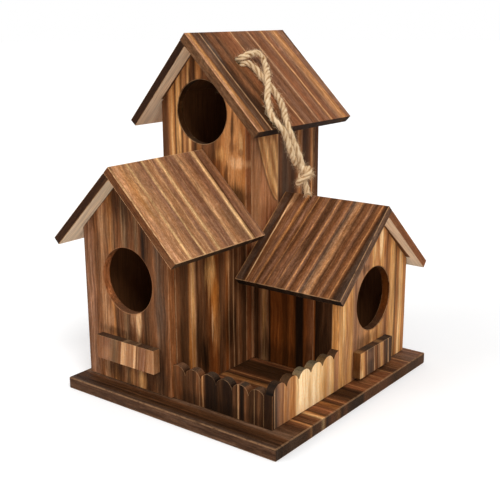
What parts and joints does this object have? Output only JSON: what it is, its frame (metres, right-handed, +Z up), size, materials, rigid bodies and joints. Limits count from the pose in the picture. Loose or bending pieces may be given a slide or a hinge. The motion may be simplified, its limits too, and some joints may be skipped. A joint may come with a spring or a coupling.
{
  "type": "bird nest box",
  "caption": "Wooden nest box for small birds: a tall tower, a low cottage and a side annex with gable roofs and round entrances beside a picket-fenced terrace, with a knotted hanging cord.",
  "frame": {"origin": "middle of the base plate's underside", "axes": "+X to the annex side along the base's front edge, +Y from the cottage's face to the back, +Z up"},
  "size_m": [0.1525, 0.1582, 0.19],
  "materials": {
    "wall_board": "carbonised laminated strips, satin",
    "roof_board": "carbonised laminated strips, satin",
    "base_board": "carbonised laminated strips, satin",
    "face_board": "carbonised laminated strips, satin",
    "ledge_board": "carbonised laminated strips, satin",
    "front_fence_board": "carbonised laminated strips, satin",
    "side_fence_board": "carbonised laminated strips, satin",
    "jute_cord": "twisted jute, matt"
  },
  "bodies": {
    "root": {"annex_back_wall": "wall_board", "annex_front_wall": "wall_board", "annex_gable_wall": "wall_board", "annex_ledge": "ledge_board", "annex_roof_back": "roof_board", "annex_roof_front": "roof_board", "base_plate": "base_board", "cottage_front_wall": "face_board", "cottage_ledge": "ledge_board", "cottage_left_wall": "wall_board", "cottage_right_wall": "wall_board", "cottage_roof_left": "roof_board", "cottage_roof_right": "roof_board", "rope_end_knot": "jute_cord", "rope_leg_left": "jute_cord", "rope_leg_right": "jute_cord", "rope_stop_knot": "jute_cord", "terrace_front_fence": "front_fence_board", "terrace_side_fence": "side_fence_board", "tower_back_wall": "wall_board", "tower_front_wall": "wall_board", "tower_left_wall": "wall_board", "tower_right_wall": "wall_board", "tower_roof_left": "roof_board", "tower_roof_right": "roof_board"}
  },
  "joints": []
}
